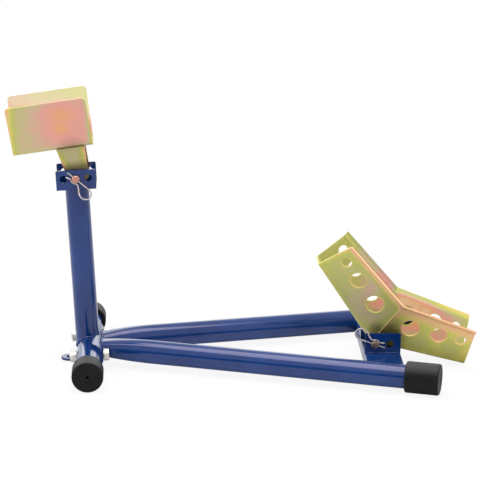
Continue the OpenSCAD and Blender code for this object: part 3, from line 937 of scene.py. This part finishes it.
boltEdges = {"joint_bolts": 0.35, "joint_washers": 0.3, "joint_nuts": 0.35}  # rounding, in mm
pinEdge = 0.4
for node, width in boltEdges.items():
    dress(tidyCopy(node, width), "frame", "bright_zinc", brightZinc, node)
dress(tidyCopy("wheel_stop_pin", pinEdge), "stop_pin", "pin_zinc", pinZinc, "wheel_stop_pin")
dress(tidyCopy("cradle_pin", pinEdge), "rocker_pin", "pin_zinc", dullPin, "cradle_pin")

wireClip = {
    "wire": 2.5,
    "tipR": 0.9,
    "leg": 17.0,
    "loopX": 27.5,
    "loopLead": 6.0,
    "loopR": 9.0,
    "ride": 7.6,
    "neck": 12.0,
    "flare": 14.0,
}


def clipLine():
    # the wire's middle line, with its straight leg through the pin at the origin
    c = wireClip
    line = [(-c["leg"], 0), (0, 0), (c["loopX"] - c["loopLead"], 0), (c["loopX"], 0)]
    line += [
        (c["loopX"] + c["loopR"] * math.cos(a), c["loopR"] * (math.sin(a) - 1))
        for a in (math.radians(v) for v in range(75, -91, -15))
    ]
    line += [((c["loopX"] + c["neck"]) / 2, -c["ride"] - c["loopR"]), (c["neck"], -c["ride"])]
    line += [
        (c["ride"] * math.cos(a), c["ride"] * math.sin(a))
        for a in (math.radians(v) for v in range(-40, -141, -20))
    ]
    line.append((-c["flare"], -c["ride"]))
    for _ in range(2):  # cut corners twice, so the wire bends smoothly
        soft = [line[0]]
        for a, b in zip(line, line[1:]):
            soft.append((0.75 * a[0] + 0.25 * b[0], 0.75 * a[1] + 0.25 * b[1]))
            soft.append((0.25 * a[0] + 0.75 * b[0], 0.25 * a[1] + 0.75 * b[1]))
        line = soft + [line[-1]]
    return line


def buildClip(node, body, pin, y, turn):
    c, s = math.cos(math.radians(turn)), math.sin(math.radians(turn))
    points = [place(pin[0] + u * c - v * s, y, pin[1] + u * s + v * c) for u, v in clipLine()]
    radii = [wireClip["wire"] / 2 * mm] * len(points)
    radii[0] = radii[-1] = wireClip["tipR"] * mm
    return dress(tubeAlong(pieceName(node), points, radii, 16), body, "clip_wire", clipSteel, node)


buildClip("wheel_stop_clip", "stop_pin", wheelStop["pin"], y=-28.95, turn=-39)
buildClip("cradle_clip", "rocker_pin", cradle["pin"], y=-42.45, turn=160)

postLean = math.radians(4.0)  # the bolts lie square to the leaning post
boltThread = {"y": 55.0, "from": -29.2, "to": -30.3, "radius": 4.55, "pitch": 0.75, "ridge": 0.3}


def buildThread(name, side):
    b = boltThread
    c, s = math.cos(postLean), math.sin(postLean)
    turns = abs(b["to"] - b["from"]) / b["pitch"]
    steps = int(turns * 28)
    points = []
    for i in range(steps + 1):
        a = 2 * math.pi * turns * i / steps
        run, up = b["from"] + (b["to"] - b["from"]) * i / steps, b["radius"] * math.sin(a)
        y = side * b["y"] + b["radius"] * math.cos(a)
        points.append(place(run * c - up * s, y, axisZ + run * s + up * c))
    obj = tubeAlong(name, points, [b["ridge"] * mm] * len(points), 6)
    return dress(obj, "frame", "bright_zinc", brightZinc)


buildThread("boltThreadLeft", 1)
buildThread("boltThreadRight", -1)
print("bolts, pins and clips built")


# weld beads

weldBead = {"ripple": 2.4, "swell": 0.16, "step": 0.55, "wander": 0.18, "wave": 8.5, "tip": 0.35}
weldAt = {
    "postFoot": {"radius": 2.6, "x": -3.3, "ring": 19.3, "reach": 18.9, "tubeR": 19.1, "lift": 0.3},
    "postTop": {"radius": 1.5, "x": -1.7, "ring": 19.2, "up": 266.2},
    "sideTube": {"radius": 2.1, "off": 0.4},
    "member": {"radius": 1.6, "x": (444.2, 460, 480, 501.0), "in": 0.2, "z": 27.3},
    "cheek": {"radius": 1.7, "x": (447.0, 499.0), "y": 40.3, "z": 27.4},
    "tang": {"radius": 1.1, "along": (-22.0, 20.5), "y": 22.6, "up": 48.9},
    "mitre": {"radius": 0.8, "up": (10.5, 25.0, 40.0, 60.0, 74.0), "in": 0.25},  # from above the pin
}


def bead(name, points, radius, body, slotName, material, closed=False):
    w = weldBead
    dense, travelled = [], []
    run = 0.0
    path = points + [points[0]] if closed else points
    for a, b in zip(path, path[1:]):
        a, b = Vector(a), Vector(b)
        span = (b - a).length
        count = max(1, round(span / w["step"]))
        for k in range(count):
            dense.append(a.lerp(b, k / count))
            travelled.append(run + span * k / count)
        run += span
    if not closed:
        dense.append(Vector(path[-1]))
        travelled.append(run)
    radii = []
    waves = max(1, round(run / w["wave"]))
    for t in travelled:
        size = radius * (1 - w["swell"] + w["swell"] * abs(math.sin(math.pi * t / w["ripple"])))
        size *= 1 + w["wander"] * math.sin(2 * math.pi * waves * t / run)
        if not closed:
            size *= min(1.0, w["tip"] + (1 - w["tip"]) * min(t, run - t) / radius)
        radii.append(size * mm)
    obj = tubeAlong(name, [place(*p) for p in dense], radii, 10, closed)
    return dress(obj, body, slotName, material)


def postFootLine():
    # round the post on the cross tube
    w = weldAt["postFoot"]
    line = []
    for a in fullTurn(72):
        x = max(-w["reach"], min(w["reach"], w["x"] + w["ring"] * math.cos(a)))
        z = axisZ + math.sqrt(max(0.0, w["tubeR"] ** 2 - x * x)) + w["lift"]
        line.append((x, w["ring"] * math.sin(a), z))
    return line


def postTopLine():
    # round the post under its head
    w = weldAt["postTop"]
    c, s = math.cos(postLean), math.sin(postLean)
    line = []
    for a in fullTurn(60):
        u, n = w["ring"] * math.cos(a), w["up"]
        line.append((w["x"] + u * c - n * s, w["ring"] * math.sin(a), axisZ + u * s + n * c))
    return line


def sideTubeLine(side):
    # where a side tube meets the saddle
    return [tuple(sidePoint(sideStart(a, side) + weldAt["sideTube"]["off"], a, side)) for a in fullTurn(60)]


def memberLine(side):
    # along an end of the cross member
    w = weldAt["member"]
    slope = sideAlong.y / sideAlong.x
    startX, startY, _ = sideTube["front"]
    inset = sideTube["radius"] / math.cos(math.atan(slope)) + w["in"]
    return [(x, side * (startY + (x - startX) * slope - inset), w["z"]) for x in w["x"]]


def mitreLine(side):
    # between the two legs
    w = weldAt["mitre"]
    line = []
    for z in w["up"]:
        y = cradle["webHalf"] + z * math.tan(legSplay) - w["in"]
        line.append(unplace(cradlePoint(False, (z / math.tan(mitreAngle), side * y, z))))
    return line


def blueBead(name, weld, line, closed=False):
    return bead(name, line, weldAt[weld]["radius"], "frame", "blue_coat", blueCoat, closed)


blueBead("postFootWeld", "postFoot", postFootLine(), True)
blueBead("postTopWeld", "postTop", postTopLine(), True)
cheek, tang, mitre = weldAt["cheek"], weldAt["tang"], weldAt["mitre"]
for side, word in ((1, "Left"), (-1, "Right")):
    blueBead("sideTubeWeld" + word, "sideTube", sideTubeLine(side), True)
    blueBead("memberWeld" + word, "member", memberLine(side))
    blueBead("cheekWeld" + word, "cheek", [(x, side * cheek["y"], cheek["z"]) for x in cheek["x"]])
    tangLine = [unplace(stopPoint(u, side * tang["y"], tang["up"])) for u in tang["along"]]
    bead("tangWeld" + word, tangLine, tang["radius"], "wheel_stop", "yellow_zinc", stopZinc)
    bead("mitreWeld" + word, mitreLine(side), mitre["radius"], "cradle", "yellow_zinc", weldZinc)
print("weld beads built")


# floor, light and camera

studio = {
    "floor": (0.95, 0.95, 0.95),
    "floorHalf": 40.0,
    "floorWhite": 0.90,  # share of plain white that the camera sees on the floor
    "floorGloss": (0.12, 0.95),  # the same share in the object's reflections, near and far
    "shadowReach": (0.7, 1.5),  # metres from the middle, beyond which the floor is plain white
    "glossReach": (0.35, 1.0),
    "ambient": 0.40,
    "cardY": -4.6,
    "cards": [  # grey cards behind the camera, seen in the paint only
        {"grey": 0.10, "x": (-5.0, 0.3), "z": (0.2, 2.1)},
        {"grey": 0.35, "x": (0.8, 5.0), "z": (0.2, 1.2)},
    ],
    "lampAim": (0, 0, 0.18),
    "lamps": {
        "key": {"at": (-0.2, -0.12, 2.3), "size": (1.75, 1.75), "power": 44.0},
        "left": {"at": (-2.4, -0.7, 1.0), "size": (1.7, 1.7), "power": 18.0},
        "right": {"at": (2.6, -0.9, 1.0), "size": (1.7, 1.7), "power": 13.0},
        "back": {"at": (0.1, 4.4, 1.3), "size": (5.0, 1.7), "power": 32.0},
    },
}


def seenDirectly(tree):
    path = tree.nodes.new("ShaderNodeLightPath")
    mirrored = addMath(tree, "MAXIMUM", path.outputs["Is Glossy Ray"], path.outputs["Is Transmission Ray"])
    return path.outputs["Is Camera Ray"], mirrored


def buildWorld():
    world = bpy.data.worlds.new("studioWorld")
    scene.world = world
    world.use_nodes = True
    tree = world.node_tree
    background = tree.nodes["Background"]
    background.inputs["Color"].default_value = (1, 1, 1, 1)
    level = addRange(tree, addMath(tree, "MAXIMUM", *seenDirectly(tree)), 0, 1, studio["ambient"], 1.0)
    tree.links.new(level, background.inputs["Strength"])


def buildFloor():
    h = studio["floorHalf"]
    floor = linkMesh("studioFloor", [(-h, -h, 0), (h, -h, 0), (h, h, 0), (-h, h, 0)], [(0, 1, 2, 3)])
    material, tree, shader, coords = startMaterial("studioFloor")
    shader.inputs["Base Color"].default_value = (*studio["floor"], 1)
    shader.inputs["Roughness"].default_value = 0.9
    shader.inputs["Specular IOR Level"].default_value = 0.0
    glow = tree.nodes.new("ShaderNodeEmission")
    glow.inputs["Strength"].default_value = 1.0
    mix = tree.nodes.new("ShaderNodeMixShader")
    away = addDistance(tree, coords, (0, 0, 0))
    white = addRange(tree, away, *studio["shadowReach"], studio["floorWhite"], 1.0, "SMOOTHSTEP")
    mirror = addRange(tree, away, *studio["glossReach"], *studio["floorGloss"], "SMOOTHSTEP")
    seen, mirrored = seenDirectly(tree)
    direct, reflected = addMath(tree, "MULTIPLY", seen, white), addMath(tree, "MULTIPLY", mirrored, mirror)
    tree.links.new(addMath(tree, "MAXIMUM", direct, reflected), mix.inputs["Fac"])
    tree.links.new(shader.outputs["BSDF"], mix.inputs[1])
    tree.links.new(glow.outputs["Emission"], mix.inputs[2])
    tree.links.new(mix.outputs["Shader"], tree.nodes["Material Output"].inputs["Surface"])
    floor.data.materials.append(material)


def buildCard(name, look):
    (x0, x1), y, (z0, z1) = look["x"], studio["cardY"], look["z"]
    card = linkMesh(name, [(x0, y, z0), (x1, y, z0), (x1, y, z1), (x0, y, z1)], [(0, 1, 2, 3)])
    material, _, shader, _ = startMaterial(name)
    shader.inputs["Base Color"].default_value = (look["grey"],) * 3 + (1,)
    shader.inputs["Roughness"].default_value = 1.0
    card.data.materials.append(material)
    card.visible_camera = card.visible_diffuse = card.visible_shadow = False


def buildLamp(name, look):
    lamp = bpy.data.lights.new(name, "AREA")
    lamp.shape = "RECTANGLE"
    lamp.size, lamp.size_y = look["size"]
    lamp.energy = look["power"]
    holder = linkObject(name, lamp)
    holder.location = look["at"]
    holder.visible_camera = False
    aim = Vector(studio["lampAim"]) - holder.location
    holder.rotation_euler = aim.to_track_quat("-Z", "Y").to_euler()


photoView = {
    "at": (72.884, -3886.089, 1283.636),  # mm, from the floor under the cross tube's axis
    "pitch": 15.52,
    "yaw": 2.48,
    "roll": -1.06,
    "lens": 188.48,
}


def buildCamera():
    pitch, yaw, roll = (math.radians(photoView[k]) for k in ("pitch", "yaw", "roll"))
    ahead = Vector((math.sin(yaw) * math.cos(pitch), math.cos(yaw) * math.cos(pitch), -math.sin(pitch)))
    right = Vector((math.cos(yaw), -math.sin(yaw), 0))
    down = ahead.cross(right)
    c, s = math.cos(roll), math.sin(roll)
    rightTurned, downTurned = right * c + down * s, down * c - right * s
    camera = bpy.data.cameras.new("photoCamera")
    camera.sensor_fit = "HORIZONTAL"
    camera.sensor_width = 36.0
    camera.lens = photoView["lens"]
    camera.clip_end = 200.0
    holder = linkObject("photoCamera", camera)
    turn = Matrix((rightTurned, -downTurned, -ahead)).transposed()
    holder.matrix_world = Matrix.Translation(place(*photoView["at"])) @ turn.to_4x4()
    scene.camera = holder


buildWorld()
buildFloor()
for k, look in enumerate(studio["cards"]):
    buildCard("studioCard%d" % k, look)
for name, look in studio["lamps"].items():
    buildLamp(name + "Lamp", look)
buildCamera()
scene.view_settings.view_transform = "Standard"
print("studio built")
